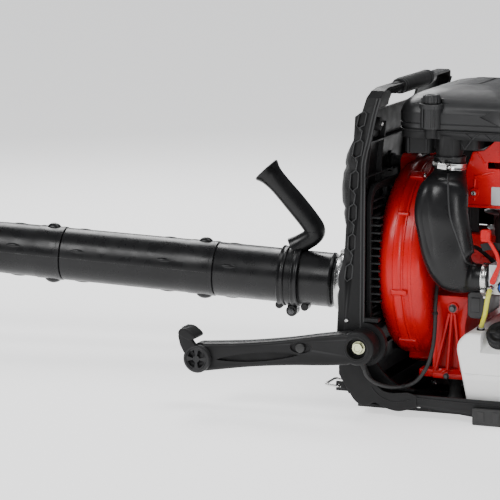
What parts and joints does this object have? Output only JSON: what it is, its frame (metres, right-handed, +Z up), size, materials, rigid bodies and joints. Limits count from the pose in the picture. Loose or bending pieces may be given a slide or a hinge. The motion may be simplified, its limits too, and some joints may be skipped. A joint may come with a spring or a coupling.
{
  "type": "backpack leaf blower",
  "caption": "Petrol backpack leaf blower: upright back frame with pads, red fan housing and engine, bellows hose and blower tube with hand grip, swing-up throttle arm.",
  "frame": {"origin": "on the surface it stands on, midway across the flat skid under the base and 25 mm in front of the middle of the skid", "axes": "-X the way the operator faces, +X the rear of the machine, +Y the side of the blower tube, +Z up"},
  "size_m": [1.4224, 0.5152, 0.497],
  "materials": {
    "black_plastic": "fine-grained moulded, satin",
    "grey_plastic": "smooth moulded, satin",
    "red_paint": "gloss moulded red",
    "red_cast": "red enamel on cast alloy",
    "rubber": "matte",
    "foam": "padded fabric, matte",
    "steel": "zinc plated",
    "alloy": "as cast",
    "zinc": "yellow-passivated zinc",
    "tank_plastic": "translucent natural white",
    "fuel_hose": "clear yellow",
    "blue_rubber": "translucent, glossy",
    "paper": "pleated paper"
  },
  "bodies": {
    "root": {"back_frame": "black_plastic", "intake_guard": "black_plastic", "base_frame": "black_plastic", "foot_left": "rubber", "foot_right": "rubber", "handle_grip": "rubber", "upper_pad": "foam", "lumbar_pad": "foam", "volute_front": "red_paint", "volute_rear": "red_paint", "elbow": "black_plastic", "hose_clamp_rear": "steel", "crankcase": "red_cast", "cylinder": "alloy", "piston": "alloy", "connecting_rod": "steel", "cylinder_cover": "red_paint", "spark_plug": "steel", "ignition_coil": "black_plastic", "muffler": "alloy", "muffler_guard": "black_plastic", "carburettor": "alloy", "intake_manifold": "rubber", "tank_bracket": "grey_plastic", "fuel_tank": "tank_plastic", "fuel_line": "fuel_hose", "starter_housing": "red_paint", "mount_left": "rubber", "mount_right": "rubber", "mount_upper": "rubber", "cleaner_case": "black_plastic", "filter_element": "paper", "intake_duct": "black_plastic", "duct_clamp_upper": "steel", "duct_clamp_lower": "steel", "throttle_cable": "rubber"},
    "hose_mid": {"hose_bellows": "rubber"},
    "hose_end": {"hose_clamp_front": "steel"},
    "tube": {"swivel_pipe": "black_plastic", "straight_pipe": "black_plastic", "nozzle_pipe": "black_plastic"},
    "grip": {"tube_grip": "black_plastic", "grip_bolt": "steel"},
    "arm": {"hip_arm": "black_plastic", "arm_bolt": "zinc"},
    "throttle_lever_body": {"throttle_lever": "black_plastic"},
    "stop_switch_body": {"stop_switch": "rubber"},
    "throttle_valve_body": {"throttle_valve": "steel"},
    "choke_body": {"choke_lever": "red_paint"},
    "primer_body": {"primer_bulb": "blue_rubber"},
    "fuel_cap_body": {"fuel_cap": "black_plastic"},
    "cleaner_cover_body": {"cleaner_cover": "grey_plastic"},
    "knob_left_body": {"knob_left": "grey_plastic"},
    "knob_right_body": {"knob_right": "grey_plastic"},
    "starter_grip_body": {"starter_grip": "black_plastic"},
    "starter_pulley_body": {"starter_pulley": "grey_plastic"},
    "crank": {"crankshaft": "steel", "impeller": "grey_plastic"},
    "strap_loop_left_body": {"strap_loop_left": "steel"},
    "strap_loop_right_body": {"strap_loop_right": "steel"}
  },
  "joints": [
    {"name": "hose_yaw", "type": "hinge", "parent": "root", "child": "hose_mid", "pos_m": [-0.19, 0.243, 0.119], "axis": [0, 0, 1], "range_deg": [-25, 15], "deforming": ["hose_bellows"]},
    {"name": "hose_pitch", "type": "hinge", "parent": "hose_mid", "child": "hose_end", "pos_m": [-0.25, 0.241, 0.12], "axis": [-0.1392, 0.9903, 0], "range_deg": [-8, 20], "deforming": ["hose_bellows"]},
    {"name": "tube_swivel", "type": "hinge", "parent": "hose_end", "child": "tube", "pos_m": [-0.3045, 0.232, 0.1245], "axis": [-0.9887, -0.1389, 0.0567], "range_deg": [-60, 60]},
    {"name": "grip_slide", "type": "slide", "parent": "tube", "child": "grip", "axis": [-0.9887, -0.1389, 0.0567], "range_m": [-0.03, 0.065]},
    {"name": "arm_swing", "type": "hinge", "parent": "root", "child": "arm", "pos_m": [-0.1116, -0.205, 0.1075], "axis": [0, 1, 0], "range_deg": [-10, 95]},
    {"name": "throttle_lever_turn", "type": "hinge", "parent": "arm", "child": "throttle_lever_body", "pos_m": [-0.364, -0.205, 0.075], "axis": [0, -1, 0], "range_deg": [0, 50]},
    {"name": "stop_switch_press", "type": "slide", "parent": "arm", "child": "stop_switch_body", "axis": [0, 1, 0], "range_m": [0, 0.0025], "stiffness_N_per_m": 600},
    {"name": "throttle_valve_turn", "type": "hinge", "parent": "root", "child": "throttle_valve_body", "pos_m": [0.09, -0.1235, 0.214], "axis": [0, 0, 1], "range_deg": [-75.1, 0]},
    {"name": "choke_turn", "type": "hinge", "parent": "root", "child": "choke_body", "pos_m": [0.0815, -0.14, 0.214], "axis": [0, 1, 0], "range_deg": [0, 50]},
    {"name": "primer_press", "type": "slide", "parent": "root", "child": "primer_body", "axis": [0, 1, 0], "range_m": [0, 0.003], "stiffness_N_per_m": 500},
    {"name": "fuel_cap_turn", "type": "hinge", "parent": "root", "child": "fuel_cap_body", "pos_m": [0.092, -0.142, 0.122], "axis": [0, -0.7071, 0.7071], "range_deg": [0, 450]},
    {"name": "cover_lift", "type": "slide", "parent": "root", "child": "cleaner_cover_body", "axis": [0, 0, 1], "range_m": [0, 0.08]},
    {"name": "knob_left_turn", "type": "hinge", "parent": "cleaner_cover_body", "child": "knob_left_body", "pos_m": [-0.0255, -0.13, 0.4304], "axis": [0, 0, 1], "range_deg": [0, 540]},
    {"name": "knob_right_turn", "type": "hinge", "parent": "cleaner_cover_body", "child": "knob_right_body", "pos_m": [-0.0255, 0.13, 0.4304], "axis": [0, 0, 1], "range_deg": [0, 540]},
    {"name": "starter_pull", "type": "slide", "parent": "root", "child": "starter_grip_body", "axis": [0, -1, 0], "range_m": [0, 0.12], "stiffness_N_per_m": 60, "springref_m": -0.05},
    {"name": "starter_pulley_turn", "type": "hinge", "parent": "root", "child": "starter_pulley_body", "pos_m": [0.126, 0, 0.217], "axis": [1, 0, 0], "range_deg": [-226, 0]},
    {"name": "crank_turn", "type": "hinge", "parent": "root", "child": "crank", "pos_m": [0, 0, 0.217], "axis": [1, 0, 0], "continuous": true},
    {"name": "strap_loop_left_swing", "type": "hinge", "parent": "root", "child": "strap_loop_left_body", "pos_m": [-0.155, -0.146, 0.039], "axis": [0, 1, 0], "range_deg": [-70, 45]},
    {"name": "strap_loop_right_swing", "type": "hinge", "parent": "root", "child": "strap_loop_right_body", "pos_m": [-0.155, 0.146, 0.039], "axis": [0, 1, 0], "range_deg": [-70, 45]}
  ],
  "couplings": [
    {"joint": "throttle_valve_turn", "follows": "throttle_lever_turn", "ratio": -1.5},
    {"joint": "starter_pulley_turn", "follows": "starter_pull", "rad_per_m": -32.787}
  ]
}
